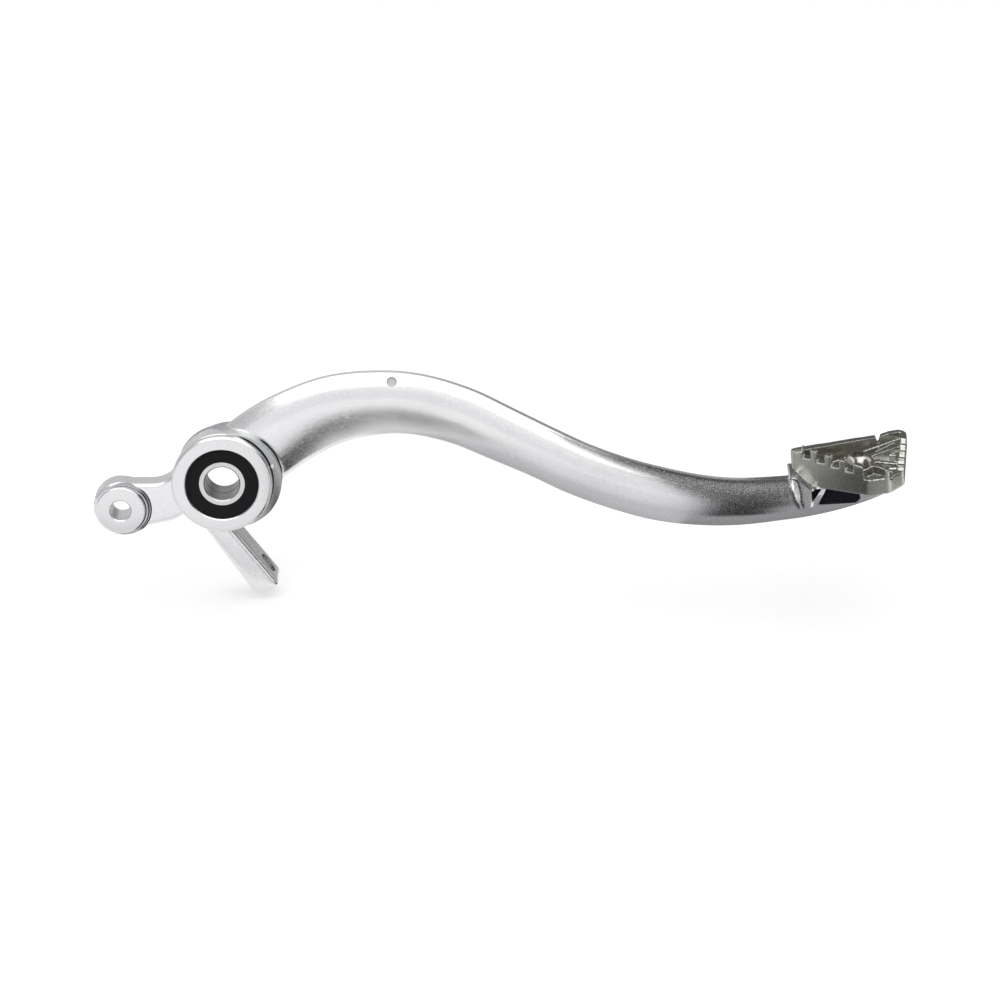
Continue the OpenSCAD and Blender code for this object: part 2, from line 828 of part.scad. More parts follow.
module front_outer_ring() { color(steel_colour) in_bearing(-1) outer_ring(); }
module front_inner_ring() { color(steel_colour) in_bearing(-1) inner_ring(); }
module front_cage() { color(brass_colour) in_bearing(-1) cage(); }
module front_balls() { color(steel_colour) in_bearing(-1) balls(); }
module front_outer_seal() { color(seal_colour) in_face(-1, -1) seal(); }
module front_inner_seal() { color(seal_colour) in_face(-1, 1) seal(); }
module rear_outer_ring() { color(steel_colour) in_bearing(1) outer_ring(); }
module rear_inner_ring() { color(steel_colour) in_bearing(1) inner_ring(); }
module rear_cage() { color(brass_colour) in_bearing(1) cage(); }
module rear_balls() { color(steel_colour) in_bearing(1) balls(); }
module rear_outer_seal() { color(seal_colour) in_face(1, 1) seal(); }
module rear_inner_seal() { color(seal_colour) in_face(1, -1) seal(); }

lever();
step_plate();
step_plate_screw();
bearing_circlip();
front_outer_ring();
front_inner_ring();
front_cage();
front_balls();
front_outer_seal();
front_inner_seal();
rear_outer_ring();
rear_inner_ring();
rear_cage();
rear_balls();
rear_outer_seal();
rear_inner_seal();
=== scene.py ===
"""Rear brake pedal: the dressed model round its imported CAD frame.

X runs to the step plate, Y from the front of the pedal to its back, and Z is up. The pieces
are worked out in millimetres, which put_mesh() turns into metres. The camera, the lamps and
the studio's cards are placed in metres.
"""

import bpy
import numpy as np
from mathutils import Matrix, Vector


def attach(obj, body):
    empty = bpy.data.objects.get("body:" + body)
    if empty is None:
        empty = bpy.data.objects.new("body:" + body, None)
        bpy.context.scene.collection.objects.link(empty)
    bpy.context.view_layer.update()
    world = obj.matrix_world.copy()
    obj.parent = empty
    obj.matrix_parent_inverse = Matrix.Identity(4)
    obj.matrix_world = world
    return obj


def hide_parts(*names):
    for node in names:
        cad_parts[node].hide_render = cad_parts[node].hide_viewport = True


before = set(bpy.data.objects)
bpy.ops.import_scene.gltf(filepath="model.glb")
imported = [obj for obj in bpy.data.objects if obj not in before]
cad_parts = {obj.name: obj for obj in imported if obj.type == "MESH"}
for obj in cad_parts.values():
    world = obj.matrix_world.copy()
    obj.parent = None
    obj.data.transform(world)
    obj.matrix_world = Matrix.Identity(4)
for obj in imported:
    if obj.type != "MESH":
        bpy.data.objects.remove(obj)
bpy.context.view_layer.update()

MM = 0.001

# Hub: radii, and places along the pivot
FRONT_Y = -7.0
REAR_Y = 8.3
BARREL_R = 14.4
REAR_TAPER = 1.4
EDGE_R = 0.9
RIM_LINE_Y = -4.5
HUB_CHAMFER = 0.25
SPOT_FACE_R = 17.0

# Bearing seat, front lip and circlip groove
SEAT_R = 11.02
LIP_R = 10.5
BEARING_W = 6.0
GROOVE_W = 1.1
GROOVE_DEPTH = 0.5
# Painted shade in the inner rings' bore: the radius under which their colour is darkened, and the factor
BORE_SHADE_R = 5.05
BORE_SHADE_LEVEL = 0.42

# Collar: the cast core, then the turned band over it and the nub on its front
COLLAR_R = 14.3
COLLAR_SHIFT = 3.0
COLLAR_SPAN = (-1.5, 7.5)
CORE_SINK = 0.75
BAND_R = 14.25
BAND_SHIFT = 2.7
BAND_FRONT = -3.9
BAND_INNER_R = 12.6
NUB_REACH = 15.1
NUB_TURN = np.radians(17.5)

# Lever arm
REACH = 181.5
CREST_Z = 21.2
LOW_Z = -5.7
ARM_Y = (4.0, -5.0)
ARM_DEPTH = (10.4, 11.4)
CREST_HEIGHT = 18.8
# Share of the reach, height of the section
ARM_HEIGHTS = np.array([
    (0.07, 22.4),
    (0.25, CREST_HEIGHT),
    (0.5, 15.6),
    (0.69, 15.6),
    (0.88, 12.4),
    (0.90, 12.4),
    (1.042, 5.2),
])
# Share of the reach, level from lowest to crest, sideways share, squareness
ARM_SHAPE = np.array([
    (0.02, 0.28, 0.00, 2.3),
    (0.07, 0.55, 0.00, 2.3),
    (0.12, 0.76, 0.00, 2.3),
    (0.18, 0.93, 0.00, 2.3),
    (0.25, 1.00, 0.02, 2.3),
    (0.31, 0.98, 0.08, 2.3),
    (0.375, 0.87, 0.20, 2.3),
    (0.435, 0.70, 0.35, 2.3),
    (0.50, 0.51, 0.52, 2.3),
    (0.56, 0.33, 0.67, 2.3),
    (0.625, 0.18, 0.80, 2.3),
    (0.69, 0.07, 0.90, 2.3),
    (0.755, 0.01, 0.96, 2.3),
    (0.815, 0.00, 0.99, 2.3),
    (0.88, 0.04, 1.00, 2.4),
    (0.915, 0.07, 1.00, 2.8),
    (0.95, 0.10, 1.00, 3.4),
    (0.985, 0.145, 1.00, 4.0),
    (1.015, 0.195, 1.00, 4.0),
    (1.042, 0.25, 1.00, 3.6),
])
SECTIONS_PER_SPAN = 9

# Dimple in the arm's crest, placed by shares of the reach and of the section's half depth and height
DIMPLE_TILT = np.radians(54)
DIMPLE_AT = np.array([
    0.267 * REACH,
    ARM_Y[0] - 0.74 * ARM_DEPTH[0] / 2,
    CREST_Z + 0.8 * CREST_HEIGHT / 2,
])
DIMPLE_WAY = np.array([0, -np.sin(DIMPLE_TILT), np.cos(DIMPLE_TILT)])
DIMPLE_R = 1.5
DIMPLE_DEPTH = 0.75

# Pushrod lug
LUG = (-29.6, -10.2)
LUG_R = 7.0
LUG_SPAN = (-1.0, 8.0)
LUG_PROUD = 1.5
LUG_STEPS_AT = (LUG[0] + 0.9, LUG[1])
PIN_HOLE_R = 3.0
PIN_CHAMFER = 0.25

# Stop arm
STOP_SLANT = np.radians(35)
STOP_ROOT = np.array([-3.5, -12.0])
STOP_SPAN = (-4.0, 8.2)
STOP_T = 6.0
STOP_DROP = 35.0
STOP_LENGTH = (STOP_DROP + STOP_ROOT[1]) / np.cos(STOP_SLANT)
STOP_EDGE_R = 1.3
STOP_HOLE_FROM_END = 6.4

# Shoulder and tongue under the step plate
SEAT_Z = 2.0
PLATE_ROLL = np.radians(10)
PLATE_PITCH = np.radians(5)
PLATE_NOSE = 19.0
NOSE_RUN = 5.2
SHOULDER_PROUD = 0.6
POCKET_DEPTH = 3.0
THREAD_DEPTH = 6.2

# Step plate, in its own frame
RIM_H = 6.3
RIM_FALL = np.tan(np.radians(11))
PLATE_OUT = 11.3
TOOTH_GAPS = 4
TOOTH_PITCH = 3.9
FIRST_GAP_AT = (4.1 - PLATE_NOSE, 8.2 - PLATE_OUT)
NEAR_TURN = np.radians(-23.5)

# Plate screw
HEAD_SEAT = 4.6
SCREW_LEN = 10.0
SCREW_R = 2.5
SCREW_TIP = 0.4
HEAD_R = 3.75
HEAD_H = 2.8
DOME_FALL = 1.7
DOME_POWER = 3.2
SOCKET_R = 3.0 / np.sqrt(3)
SOCKET_DEPTH = 1.9

# How the castings melt together: voxel size, rounds of smoothing, and the reach within which the
# plate's points are merged
CAST_VOXEL = 0.45
CAST_ROUNDS = 12
PLATE_VOXEL = 0.21
PLATE_ROUNDS = 3
PLATE_WELD = 0.002

# Fineness of the turned pieces, and the angle in degrees from which their edges stay crisp
FINE_SIDES = 256
BOSS_SIDES = 160
ROUND_SIDES = 128
BAR_SIDES = 64
TURNED_EDGE = 25

# Metals: name, light and dark tone, grain scale, smoothest and roughest, relief, darkest speck
METALS = {
    "cast": ("Blasted aluminium", (0.87, 0.87, 0.865), (0.81, 0.81, 0.805), 3600, 0.17, 0.28, 0.55, 0.9),
    "machined": ("Machined aluminium", (0.79, 0.79, 0.78), (0.76, 0.76, 0.75), 5200, 0.22, 0.30, 0.06, 0.97),
    # A darker copy of the machined aluminium, for the collar band and the lug's steps: their darkness is
    # painted shade
    "collar": ("Turned aluminium with painted shade", (0.53, 0.54, 0.54), (0.44, 0.45, 0.45), 5200, 0.22, 0.32, 0.08, 0.9),
    # Darker and rougher, for the dimple's floor: the darkness is painted shade
    "dimple_shade": ("Darker casting for painted dimple shade", (0.50, 0.50, 0.50), (0.36, 0.36, 0.36), 4200, 0.45, 0.6, 0.4, 0.9),
    # Near black, for the lines in the grooves and the plates in the tongue's hollows: painted shade
    "painted_shade": ("Painted shade", (0.045, 0.047, 0.06), (0.02, 0.021, 0.028), 4200, 0.5, 0.7, 0.3, 0.9),
    "plate": ("Tumbled steel", (0.56, 0.555, 0.51), (0.48, 0.475, 0.43), 5200, 0.20, 0.32, 0.08, 0.94),
    "screw": ("Screw steel", (0.60, 0.58, 0.54), (0.46, 0.44, 0.41), 1800, 0.18, 0.32, 0.20, 0.9),
    "ground": ("Ground bearing steel", (0.71, 0.70, 0.67), (0.61, 0.60, 0.575), 2400, 0.18, 0.30, 0.12, 0.9),
    # Bearing steel for the inner rings, darkened inside their bore as painted shade
    "shaded_bore": ("Bearing steel with painted bore shade", (0.71, 0.70, 0.67), (0.61, 0.60, 0.575), 2400, 0.20, 0.32, 0.12, 0.9),
    "spring": ("Spring steel", (0.16, 0.16, 0.17), (0.10, 0.10, 0.11), 2400, 0.35, 0.50, 0.2, 0.9),
    "brass": ("Pressed brass", (0.66, 0.54, 0.30), (0.52, 0.42, 0.22), 2400, 0.25, 0.40, 0.2, 0.9),
    "seal": ("Seal rubber", (0.010, 0.010, 0.012), (0.005, 0.005, 0.006), 5200, 0.6, 0.8, 0.3, 0.9),
}
RELIEF_DEPTH = 0.02
RUBBER_GLOSS = 0.18

# Camera: place and aim in metres, 21 degrees above the horizon, and the lens in millimetres
CAMERA_AT = (0.0792, -1.2417, 0.4694)
CAMERA_AIM = (0.0792, 0.0, -0.0072)
CAMERA_LENS = 167.1

# Room, in metres: the floor under the stop arm, and how much its own glow lifts it to white
FLOOR_Z = -0.0365
FLOOR_SPAN = ((-2, 2.2), (-1.5, 2.5))
FLOOR_TONE = 0.86
FLOOR_LIFT = 0.38
ROOM_LIGHT = 0.3
WHITE = 1.0
CARD_COOLNESS = 1.04


def in_scene(name, data):
    """A new object in the scene that holds a mesh, a lamp or a camera."""
    obj = bpy.data.objects.new(name, data)
    bpy.context.scene.collection.objects.link(obj)
    return obj


def put_mesh(name, points, faces):
    """A mesh object from points in millimetres and a list of faces."""
    mesh = bpy.data.meshes.new(name)
    mesh.from_pydata((np.asarray(points, float) * MM).tolist(), [], faces)
    mesh.update()
    return in_scene(name, mesh)


def points_of(mesh):
    """A mesh's points in metres, as an array with a row for each."""
    co = np.empty(len(mesh.vertices) * 3)
    mesh.vertices.foreach_get("co", co)
    return co.reshape(-1, 3)


def around(sides):
    """Even angles once round a circle, the first at zero."""
    return np.linspace(0, 2 * np.pi, sides, endpoint=False)


def skin(rows, cols, wrap_rows):
    """Quads between the neighbouring points of rows by cols rings, each ring closed on itself.
    Where wrap_rows is set, the last ring also joins the first."""
    r = np.arange(rows if wrap_rows else rows - 1)[:, None]
    c = np.arange(cols)[None, :]
    nr, nc = (r + 1) % rows, (c + 1) % cols
    quads = np.stack([r * cols + c, r * cols + nc, nr * cols + nc, nr * cols + c], -1)
    return quads.reshape(-1, 4).tolist()


def ringed(name, rings, closed=False):
    """A surface through an array of rings. The end rings are closed by one flat face each,
    or joined to each other where closed is set. Faces are then turned outwards."""
    rings = np.asarray(rings, float)
    rows, cols, _ = rings.shape
    faces = skin(rows, cols, closed)
    if not closed:
        faces.append(list(range(cols))[::-1])
        faces.append(list(range((rows - 1) * cols, rows * cols)))
    obj = put_mesh(name, rings.reshape(-1, 3), faces)
    outwards(obj)
    return obj


def outwards(obj):
    """Points every face of a closed mesh away from its inside: the signed volume is the sum over
    the triangles of corner dot (corner cross corner), and a negative one flips the mesh."""
    mesh = obj.data
    mesh.calc_loop_triangles()
    tri = np.empty(len(mesh.loop_triangles) * 3, np.int32)
    mesh.loop_triangles.foreach_get("vertices", tri)
    a, b, c = np.moveaxis(points_of(mesh)[tri.reshape(-1, 3)], 1, 0)
    if np.einsum("ij,ij->", a, np.cross(b, c)) < 0:
        mesh.flip_normals()


def turned(name, profile, centre=(0.0, 0.0), sides=ROUND_SIDES, closed=False):
    """A profile of (radius, y) points turned round a line along Y through centre (x, z):
    x = cx + r cos a, z = cz + r sin a."""
    profile = np.asarray(profile, float)
    a = around(sides)
    r, y = profile[:, :1], profile[:, 1:]
    rings = np.stack([centre[0] + r * np.cos(a), y + 0 * a, centre[1] + r * np.sin(a)], -1)
    return ringed(name, rings, closed)


def arc(cx, cy, r, start, stop, steps):
    """Points of an arc between two angles in degrees."""
    a = np.radians(np.linspace(start, stop, steps))
    return np.stack([cx + r * np.cos(a), cy + r * np.sin(a)], -1)


def slab(name, outline, span, edge=0.0):
    """An outline of (x, z) points carried along Y over span, its long edges rounded by edge."""
    outline = np.asarray(outline, float)
    rings = np.stack([np.insert(outline, 1, y, axis=1) for y in span])
    obj = ringed(name, rings)
    if edge:
        bevel = obj.modifiers.new("edge", "BEVEL")
        bevel.width = edge * MM
        bevel.segments = 4
        bevel.limit_method = "ANGLE"
        bevel.angle_limit = np.radians(30)
    return obj


def hulled(circles):
    """The convex outline round (x, z, radius) circles: for each direction, the circle point that
    lies furthest out, which is the centre plus the radius times the direction."""
    circles = np.asarray(circles, float)
    a = around(168)
    way = np.stack([np.cos(a), np.sin(a)], -1)
    reach = circles[:, :2] @ way.T + circles[:, 2:]
    far = circles[np.argmax(reach, axis=0)]
    points = far[:, :2] + far[:, 2:] * way
    keep = np.linalg.norm(points - np.roll(points, 1, axis=0), axis=1) > 1e-6
    return points[keep]


def bar(name, start, way, length, r):
    """A round bar from start along the direction way: two rings of radius r square to it."""
    way = np.asarray(way, float) / np.linalg.norm(way)
    side = np.cross(way, [0, 1, 0]) if abs(way[1]) < 0.9 else np.cross(way, [1, 0, 0])
    side /= np.linalg.norm(side)
    other = np.cross(way, side)
    a = around(BAR_SIDES)[:, None]
    ring = r * (np.cos(a) * side + np.sin(a) * other)
    return ringed(name, np.stack([start + ring, start + way * length + ring]))


def smooth(obj, sharp):
    """Smooth shading, but for edges sharper than the given angle in degrees."""
    obj.data.shade_smooth()
    obj.data.set_sharp_from_angle(angle=np.radians(sharp))
    return obj


def finished(obj, name, sharp):
    """The modified shape of obj as a plain, smoothed mesh under a new name. The helper object goes."""
    shape = obj.evaluated_get(bpy.context.evaluated_depsgraph_get())
    mesh = bpy.data.meshes.new_from_object(shape)
    mesh.name = name
    piece = in_scene(name, mesh)
    bpy.data.objects.remove(obj)
    return smooth(piece, sharp)


def faces_of(mesh, base):
    """A mesh's faces as lists of point numbers, each raised by base."""
    corners = np.empty(len(mesh.loops), np.int32)
    mesh.loops.foreach_get("vertex_index", corners)
    starts = np.empty(len(mesh.polygons), np.int32)
    mesh.polygons.foreach_get("loop_start", starts)
    return [face.tolist() for face in np.split(corners + base, starts[1:])]


def joined(name, parts):
    """Several helper objects, modifiers included, as one mesh object of separate closed shells."""
    points, faces, base = [], [], 0
    graph = bpy.context.evaluated_depsgraph_get()
    for part in parts:
        mesh = part.evaluated_get(graph).to_mesh()
        points.append(points_of(mesh))
        faces += faces_of(mesh, base)
        base += len(mesh.vertices)
    for part in parts:
        bpy.data.objects.remove(part)
    return put_mesh(name, np.concatenate(points) / MM, faces)


def melted(obj, voxel, rounds):
    """Fuses overlapping shells as a casting would: voxels of the given size, then smoothing
    that leaves soft fillets where the shells meet."""
    remesh = obj.modifiers.new("fuse", "REMESH")
    remesh.mode = "VOXEL"
    remesh.voxel_size = voxel * MM
    relax = obj.modifiers.new("soften", "SMOOTH")
    relax.factor = 0.5
    relax.iterations = rounds
    return obj


def cut_by(obj, cutter):
    """Takes the cutter's closed shells away from obj, with crisp machined edges."""
    cut = obj.modifiers.new("machining", "BOOLEAN")
    cut.operation = "DIFFERENCE"
    cut.object = cutter
    cut.solver = "MANIFOLD"
    return obj


def on_seat(points):
    """Points from the step plate's own frame to the object's: pitched about Y, rolled about X,
    then moved to the seat under the screw."""
    p = np.asarray(points, float)
    cp, sp = np.cos(-PLATE_PITCH), np.sin(-PLATE_PITCH)
    x = cp * p[..., 0] + sp * p[..., 2]
    z = -sp * p[..., 0] + cp * p[..., 2]
    cr, sr = np.cos(PLATE_ROLL), np.sin(PLATE_ROLL)
    y = cr * p[..., 1] - sr * z
    z = sr * p[..., 1] + cr * z
    return np.stack([x + REACH, y + ARM_Y[1], z + SEAT_Z], -1)


def move_points(obj, change):
    """Replaces an object's points by change(points), both in millimetres."""
    mesh = obj.data
    mesh.vertices.foreach_set("co", (change(points_of(mesh) / MM) * MM).ravel())
    mesh.update()
    return obj


def catmull_rom(rows, steps):
    """A smooth curve through rows: each span blends its two ends by the cubic whose end slopes
    are half the chords of the neighbouring points."""
    p = np.concatenate([rows[:1], rows, rows[-1:]])
    t = np.linspace(0, 1, steps, endpoint=False)[:, None, None]
    p0, p1, p2, p3 = p[:-3], p[1:-2], p[2:-1], p[3:]
    curve = 0.5 * (2 * p1 + (p2 - p0) * t + (2 * p0 - 5 * p1 + 4 * p2 - p3) * t**2
                   + (3 * p1 - p0 - 3 * p2 + p3) * t**3)
    curve = np.swapaxes(curve, 0, 1).reshape(-1, rows.shape[1])
    return np.concatenate([curve, rows[-1:]])


def arm_loft():
    """The arm: superellipse sections, |y/b|^n + |z/a|^n = 1, carried square to a smooth S curve."""
    share, level, side, square = ARM_SHAPE.T
    stops, heights = ARM_HEIGHTS.T
    rows = np.stack([
        share * REACH,
        ARM_Y[0] + (ARM_Y[1] - ARM_Y[0]) * side,
        LOW_Z + (CREST_Z - LOW_Z) * level,
        np.interp(share, stops, heights) / 2,
        np.interp(share, (0, 1), ARM_DEPTH) / 2,
        square,
    ], -1)
    path = catmull_rom(rows, SECTIONS_PER_SPAN)
    middle, a, b, n = path[:, :3], path[:, 3:4], path[:, 4:5], path[:, 5:6]
    along = np.gradient(middle, axis=0)
    along /= np.linalg.norm(along, axis=1, keepdims=True)
    side = np.array([0.0, 1.0, 0.0]) - along[:, 1:2] * along
    side /= np.linalg.norm(side, axis=1, keepdims=True)
    up = np.cross(along, side)
    turn = around(96)
    height = np.sign(np.sin(turn)) * np.abs(np.sin(turn)) ** (2 / n)
    depth = np.sign(np.cos(turn)) * np.abs(np.cos(turn)) ** (2 / n)
    rings = (middle[:, None] + up[:, None] * (a * height)[..., None]
             + side[:, None] * (b * depth)[..., None])
    return ringed("arm", rings)


def on_stop(down, across):
    """A place on the stop arm: its root plus a distance down the bar and one across it."""
    along = np.array([np.sin(STOP_SLANT), -np.cos(STOP_SLANT)])
    square = np.array([np.cos(STOP_SLANT), np.sin(STOP_SLANT)])
    return STOP_ROOT + down * along + across * square


def stop_arm():
    """The slanting stop arm with well rounded long edges, flared a little at its end."""
    half = STOP_T / 2 - STOP_EDGE_R
    places = [(-3, -half), (-3, half), (STOP_LENGTH - 4.5, -half), (STOP_LENGTH - 2.6, 0),
              (STOP_LENGTH - 1.8, half + 1.5)]
    circles = [(*on_stop(down, across), STOP_EDGE_R) for down, across in places]
    return slab("stop_arm", hulled(circles), STOP_SPAN, edge=STOP_EDGE_R)


def barrel():
    """The hub's cast barrel, tapered to a rounded rear edge and set back behind the turned rim."""
    rear_r = BARREL_R - REAR_TAPER
    round_r = 0.8
    profile = [(BARREL_R - 0.2, RIM_LINE_Y + 0.35), (BARREL_R, RIM_LINE_Y + 0.7)]
    profile += arc(rear_r - round_r, REAR_Y - round_r, round_r, 0, 90, 5).tolist()
    return turned("barrel", profile)


def collar_core():
    """The collar's cast core, sunk a little under the turned band."""
    front, back = COLLAR_SPAN
    core_r = COLLAR_R - CORE_SINK
    return turned("collar", [(core_r, front + 0.4), (core_r, back - 0.1)], (COLLAR_SHIFT, 0))


def lug_web():
    """The web from the hub to the lug, its upper edge filleted into the hub, and its round end."""
    span = (LUG_SPAN[0] + LUG_PROUD, LUG_SPAN[1])
    top = LUG[1] + LUG_R + 0.4
    fillet_r = 8
    fillet = arc(-20.5, top + fillet_r, fillet_r, 270, 360, 12).tolist()
    web = [(LUG[0], top), *fillet, (-8, top + fillet_r), (-8, -10), (-14.2, -13.7),
           (LUG[0] - 1, LUG[1] - LUG_R - 0.35)]
    return [slab("web", web, span), slab("lug_end", hulled([(*LUG, LUG_R + 0.9)]), span)]


def shoulder():
    """The shoulder across the arm that the step plate's nose butts against."""
    nose = REACH - PLATE_NOSE
    half = ARM_DEPTH[1] / 2 + SHOULDER_PROUD
    outline = [(nose - 1.7, SEAT_Z + 1.2), (nose - 1.2, SEAT_Z + 2), (nose + NOSE_RUN + 1, SEAT_Z + 1),
               (nose + NOSE_RUN - 0.2, SEAT_Z - 7.4), (nose + 3, SEAT_Z - 8.2), (nose + 1.8, SEAT_Z - 5.4),
               (nose + 0.4, SEAT_Z + 0.6)]
    return slab("shoulder", outline, (ARM_Y[1] - half, ARM_Y[1] + half))


def pocket_outlines():
    """The two hollows in each side of the tongue, with a slanting rib between them."""
    start = REACH - PLATE_NOSE + NOSE_RUN
    corner = [(start - 0.2, SEAT_Z - 1.6), (start + 3.1, SEAT_Z - 1.5), (start + 0.2, SEAT_Z - 5.9)]
    long = [(start + 1.8, SEAT_Z - 6.6), (REACH - 1.0, SEAT_Z - 6.0), (REACH + 0.1, SEAT_Z - 4.6),
            (REACH - 0.4, SEAT_Z - 1.7), (start + 4.1, SEAT_Z - 1.9)]
    return corner, long


def tongue_pockets():
    """Cutters for the hollows in both sides of the tongue, open outwards."""
    half = ARM_DEPTH[1] / 2
    outside = 12
    spans = [(ARM_Y[1] - outside, ARM_Y[1] - half + POCKET_DEPTH),
             (ARM_Y[1] + half - POCKET_DEPTH, ARM_Y[1] + outside)]
    return [slab("pocket", outline, span) for outline in pocket_outlines() for span in spans]


def pocket_shade_plates():
    """Painted shade in the tongue's hollows: each a thin dark plate bedded in its hollow."""
    bed = ARM_DEPTH[1] / 2 - POCKET_DEPTH
    floors = []
    for outline in pocket_outlines():
        outline = np.array(outline)
        inner = outline + 0.02 * (outline.mean(axis=0) - outline)
        for side in (-1, 1):
            span = np.sort(ARM_Y[1] + side * np.array([bed - 0.2, bed + 0.5]))
            floors.append(slab("floor", inner, span))
    return joined("pocket_shade_plates", floors)


def seat_cut():
    """Everything above the seat, nose slope included, in the step plate's frame."""
    left, far = NOSE_RUN - PLATE_NOSE, 20
    outline = [(left, 0), (far, 0), (far, far), (left - far, far)]
    return move_points(slab("seat", outline, (-far, far)), on_seat)


def machining():
    """The cutters for the casting: bore with its rear spot face, lug and stop holes, dimple,
    tapped hole, seat and the tongue's hollows. Bore and lug hole are cut wide, because turned
    pieces line them, and each cutter reaches well past the metal."""
    lined_r = SEAT_R + 1
    bore = turned("bore", [(lined_r, FRONT_Y - 3), (lined_r, REAR_Y), (SPOT_FACE_R, REAR_Y),
                           (SPOT_FACE_R, REAR_Y + 6)])
    lug_hole = bar("lug_hole", (LUG[0], LUG_SPAN[0] - 3, LUG[1]), (0, 1, 0), 16, LUG_R - 1.5)
    hole_x, hole_z = on_stop(STOP_LENGTH - STOP_HOLE_FROM_END, 0)
    hole_way = np.array([np.cos(STOP_SLANT), 0, np.sin(STOP_SLANT)])
    hole_start = np.array([hole_x, sum(STOP_SPAN) / 2, hole_z]) - 15 * hole_way
    stop_hole = bar("stop_hole", hole_start, hole_way, 30, PIN_HOLE_R)
    dimple = bar("dimple", DIMPLE_AT - DIMPLE_DEPTH * DIMPLE_WAY, DIMPLE_WAY, 4, DIMPLE_R)
    screw_way = on_seat([0, 0, 1]) - on_seat([0, 0, 0])
    tapped = bar("tapped", on_seat([0, 0, -THREAD_DEPTH]), screw_way, 8, SCREW_R + 0.02)
    return [bore, lug_hole, stop_hole, dimple, tapped, seat_cut(), *tongue_pockets()]


def cast_lever():
    """The casting: overlapping closed shells fused and softened, then machined."""
    shells = [arm_loft(), barrel(), collar_core(), *lug_web(), stop_arm(), shoulder()]
    cast = melted(joined("cast", shells), CAST_VOXEL, CAST_ROUNDS)
    cutter = joined("cutters", machining())
    lever = finished(cut_by(cast, cutter), "lever_casting", sharp=34)
    bpy.data.objects.remove(cutter)
    return lever


def hub_sleeve():
    """The machined hub: rounded front rim with its fine groove, front lip, bearing seat and
    circlip groove, as one closed profile turned round the pivot."""
    hidden_r = SEAT_R + 1.2
    groove_r = SEAT_R + GROOVE_DEPTH
    groove_end = BEARING_W + GROOVE_W
    back = REAR_Y + 0.04
    profile = [(LIP_R + HUB_CHAMFER, FRONT_Y)]
    profile += arc(BARREL_R - EDGE_R, FRONT_Y + EDGE_R, EDGE_R, -90, 0, 12).tolist()
    profile += [
        (BARREL_R, RIM_LINE_Y - 0.02), (BARREL_R - 0.06, RIM_LINE_Y + 0.04),
        (BARREL_R - 0.5, RIM_LINE_Y + 0.2), (BARREL_R - 0.5, RIM_LINE_Y + 0.8),
        (hidden_r, RIM_LINE_Y + 0.9), (hidden_r, back), (SEAT_R + HUB_CHAMFER, back),
        (SEAT_R, REAR_Y - HUB_CHAMFER), (SEAT_R, groove_end), (groove_r, groove_end),
        (groove_r, BEARING_W), (SEAT_R, BEARING_W), (SEAT_R, -BEARING_W), (LIP_R, -BEARING_W),
        (LIP_R, FRONT_Y + HUB_CHAMFER),
    ]
    return smooth(turned("hub_sleeve", profile, sides=FINE_SIDES, closed=True), TURNED_EDGE)


def collar_reach(a):
    """Distance from the pivot to the collar's rim in the direction a: the far crossing of that
    ray with the eccentric circle, shift cos a + sqrt(r^2 - (shift sin a)^2)."""
    return BAND_SHIFT * np.cos(a) + np.sqrt(BAND_R**2 - (BAND_SHIFT * np.sin(a))**2)


def collar_band():
    """The turned collar: an eccentric rim with a crisp front step, its inner wall a circle round
    the pivot that lies inside the hub's wall. Each ring is r cos a, y, r sin a."""
    back = COLLAR_SPAN[1]
    a = around(FINE_SIDES)
    rim = np.maximum(collar_reach(a), BAND_INNER_R + 0.7)
    inner = np.full_like(a, BAND_INNER_R)
    rows = [(inner, BAND_FRONT), (rim - 0.35, BAND_FRONT), (rim - 0.1, BAND_FRONT + 0.1),
            (rim, BAND_FRONT + 0.35), (rim, back - 0.5), (rim - 0.5, back), (inner, back)]
    rings = np.stack([np.stack([r * np.cos(a), np.full_like(a, y), r * np.sin(a)], -1) for r, y in rows])
    return smooth(ringed("collar_band", rings, closed=True), TURNED_EDGE)


def groove_shade_line(name, centre, r, y, width, start, stop):
    """A line of painted shade in a turned groove: a thin square section carried round an arc from start to
    stop in degrees. Its width is three times the sine of the way along, and at most the full
    width, so that both ends fade out."""
    along = np.linspace(0, 1, 60)[:, None]
    a = np.radians(start + (stop - start) * along)
    half = width / 2 * np.clip(3 * np.sin(np.pi * along), 0.02, 1)
    corner_r, corner_y = np.array([(-1, -1), (1, -1), (1, 1), (-1, 1)]).T
    radius = r + half * corner_r
    x = centre[0] + radius * np.cos(a)
    z = centre[1] + radius * np.sin(a)
    return ringed(name, np.stack([x, y + half * corner_y, z], -1))


def groove_shade_lines():
    """Painted shade in the grooves, each over part of its round: the hub's rim and collar, and between the
    lug's turned steps.
    """
    front, r = LUG_SPAN[0], LUG_R
    boss_at = (LUG[0] + 0.35, LUG[1])
    return joined("groove_shade_lines", [
        groove_shade_line("rim", (0, 0), BARREL_R + 0.1, BAND_FRONT, 0.5, -62, 72),
        groove_shade_line("collar", (BAND_SHIFT, 0), BAND_R + 0.03, COLLAR_SPAN[0], 0.5, 6, 56),
        groove_shade_line("boss_edge", boss_at, r - 0.05, front + 0.72, 0.3, -62, 50),
        groove_shade_line("step_one", LUG_STEPS_AT, r + 0.15, front + 1.05, 0.46, -62, 54),
        groove_shade_line("step_two", LUG_STEPS_AT, r + 0.85, front + 1.55, 0.36, -60, 56),
    ])


def hub_nub():
    """The small punched nub on the collar's front beside the rim: a low turned stud with a pit."""
    centre = NUB_REACH * np.array([np.cos(NUB_TURN), np.sin(NUB_TURN)])
    rise = [(0.6, 0.2), (0.58, -0.25), (0.48, -0.36), (0.34, -0.38), (0.24, -0.3), (0.2, -0.02)]
    profile = [(r, BAND_FRONT + y) for r, y in rise]
    return smooth(turned("hub_nub", profile, centre, sides=32), sharp=30)


